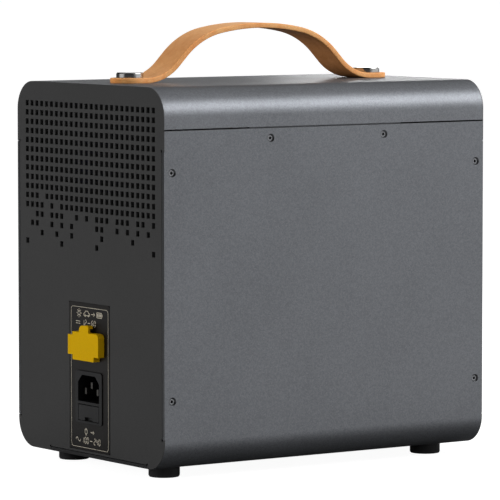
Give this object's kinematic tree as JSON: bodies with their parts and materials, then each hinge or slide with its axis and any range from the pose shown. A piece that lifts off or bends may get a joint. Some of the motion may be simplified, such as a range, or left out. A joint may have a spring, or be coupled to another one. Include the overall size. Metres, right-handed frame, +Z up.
{
  "type": "portable power station",
  "caption": "Portable power station: metal case with a leather strap, vented rear with mains and battery inlets, and outlets, ports and a display in front.",
  "frame": {"origin": "middle of the case's footprint, on the floor under the feet", "axes": "+X across the width, +Y towards the rear panel with the inlets, +Z up"},
  "size_m": [0.174, 0.2616, 0.2853],
  "materials": {
    "side_wrap": "fine textured powder coat, slate grey",
    "top_cover": "fine textured powder coat, slate grey",
    "rear_panel": "matt powder coat, charcoal",
    "front_panel": "matt powder coat, charcoal",
    "chassis": "zinc-plated sheet",
    "lower_deck": "plain sheet",
    "upper_deck": "plain sheet",
    "feet": "moulded rubber",
    "foot_screws": "zinc-plated",
    "case_screws": "black oxide",
    "handle_strap": "tan vegetable-tanned leather with a waxed surface",
    "handle_rivets": "polished",
    "handle_nuts": "zinc-plated",
    "label_plate": "printed film over plastic, brown-black",
    "mains_inlet": "moulded",
    "mains_pins": "nickel-plated",
    "fuse_drawer": "moulded",
    "fuse": "glass tube with metal caps",
    "solar_inlet": "moulded nylon",
    "solar_contacts": "gold flash",
    "dust_cap": "soft yellow moulding",
    "battery_cells": "cans in blue film",
    "cell_spacers": "fibre sheet",
    "end_plates": "plain plate",
    "battery_bands": "plain strip",
    "busbars": "bare copper",
    "battery_board": "solder mask",
    "charger_board": "solder mask",
    "charger_transformer": "ferrite core with a taped winding",
    "inverter_board": "solder mask",
    "inverter_transformer": "ferrite core with a taped winding",
    "filter_capacitors": "cans in blue sleeves",
    "heat_sinks": "extruded",
    "driver_board": "solder mask",
    "battery_leads": "silicone insulation, red",
    "inlet_leads": "insulation, black",
    "exhaust_fan_frame": "moulded",
    "exhaust_fan_rotor": "moulded",
    "small_fan_frame": "moulded",
    "small_fan_rotor": "moulded",
    "display_lens": "smoked, polished",
    "display_module": "display module in its frame",
    "front_board": "solder mask",
    "lamp_lens": "opal",
    "lamp_board": "white solder mask",
    "power_button": "yellow",
    "lamp_button": "moulded",
    "usb_button": "moulded",
    "dc_button": "moulded",
    "mains_button": "moulded",
    "usb_a_ports": "nickel-plated shells",
    "usb_c_ports": "nickel-plated shells",
    "dc_jacks": "moulded",
    "car_socket": "moulded",
    "car_socket_contact": "bare",
    "car_socket_cap": "moulded",
    "cap_hinge_pin": "plain",
    "left_outlet": "moulded",
    "right_outlet": "moulded",
    "outlet_contacts": "bare"
  },
  "bodies": {
    "case": {"side_wrap": "side_wrap", "top_cover": "top_cover", "rear_panel": "rear_panel", "front_panel": "front_panel", "chassis": "chassis", "lower_deck": "lower_deck", "upper_deck": "upper_deck", "feet": "feet", "foot_screws": "foot_screws", "case_screws": "case_screws", "handle_strap": "handle_strap", "handle_rivets": "handle_rivets", "handle_nuts": "handle_nuts", "label_plate": "label_plate", "mains_inlet": "mains_inlet", "mains_pins": "mains_pins", "solar_inlet": "solar_inlet", "solar_contacts": "solar_contacts", "battery_cells": "battery_cells", "cell_spacers": "cell_spacers", "end_plates": "end_plates", "battery_bands": "battery_bands", "busbars": "busbars", "battery_board": "battery_board", "charger_board": "charger_board", "charger_transformer": "charger_transformer", "inverter_board": "inverter_board", "inverter_transformer": "inverter_transformer", "filter_capacitors": "filter_capacitors", "heat_sinks": "heat_sinks", "driver_board": "driver_board", "battery_leads": "battery_leads", "inlet_leads": "inlet_leads", "exhaust_fan_frame": "exhaust_fan_frame", "small_fan_frame": "small_fan_frame", "display_lens": "display_lens", "display_module": "display_module", "front_board": "front_board", "lamp_lens": "lamp_lens", "lamp_board": "lamp_board", "usb_a_ports": "usb_a_ports", "usb_c_ports": "usb_c_ports", "dc_jacks": "dc_jacks", "car_socket": "car_socket", "car_socket_contact": "car_socket_contact", "cap_hinge_pin": "cap_hinge_pin", "left_outlet": "left_outlet", "right_outlet": "right_outlet", "outlet_contacts": "outlet_contacts"},
    "dust_cap": {"dust_cap": "dust_cap"},
    "fuse_drawer": {"fuse_drawer": "fuse_drawer", "fuse": "fuse"},
    "socket_cap": {"car_socket_cap": "car_socket_cap"},
    "power_button": {"power_button": "power_button"},
    "lamp_button": {"lamp_button": "lamp_button"},
    "usb_button": {"usb_button": "usb_button"},
    "dc_button": {"dc_button": "dc_button"},
    "mains_button": {"mains_button": "mains_button"},
    "exhaust_rotor": {"exhaust_fan_rotor": "exhaust_fan_rotor"},
    "small_rotor": {"small_fan_rotor": "small_fan_rotor"}
  },
  "joints": [
    {"name": "dust_cap_pull", "type": "slide", "parent": "case", "child": "dust_cap", "axis": [0, 1, 0], "range_m": [0, 0.02]},
    {"name": "fuse_drawer_slide", "type": "slide", "parent": "case", "child": "fuse_drawer", "axis": [0, 1, 0], "range_m": [0, 0.018]},
    {"name": "socket_cap_hinge", "type": "hinge", "parent": "case", "child": "socket_cap", "pos_m": [0.058, -0.1286, 0.1642], "axis": [-1, 0, 0], "range_deg": [0, 165]},
    {"name": "power_button_press", "type": "slide", "parent": "case", "child": "power_button", "axis": [0, 1, 0], "range_m": [0, 0.0012], "stiffness_N_per_m": 400, "springref_m": -0.001},
    {"name": "lamp_button_press", "type": "slide", "parent": "case", "child": "lamp_button", "axis": [0, 1, 0], "range_m": [0, 0.0012], "stiffness_N_per_m": 400, "springref_m": -0.001},
    {"name": "usb_button_press", "type": "slide", "parent": "case", "child": "usb_button", "axis": [0, 1, 0], "range_m": [0, 0.0012], "stiffness_N_per_m": 400, "springref_m": -0.001},
    {"name": "dc_button_press", "type": "slide", "parent": "case", "child": "dc_button", "axis": [0, 1, 0], "range_m": [0, 0.0012], "stiffness_N_per_m": 400, "springref_m": -0.001},
    {"name": "mains_button_press", "type": "slide", "parent": "case", "child": "mains_button", "axis": [0, 1, 0], "range_m": [0, 0.0012], "stiffness_N_per_m": 400, "springref_m": -0.001},
    {"name": "exhaust_fan_spin", "type": "hinge", "parent": "case", "child": "exhaust_rotor", "pos_m": [0.047, 0.1058, 0.1981], "axis": [0, 1, 0], "continuous": true},
    {"name": "small_fan_spin", "type": "hinge", "parent": "case", "child": "small_rotor", "pos_m": [0.038, -0.0712, 0.2054], "axis": [0, 1, 0], "continuous": true}
  ]
}
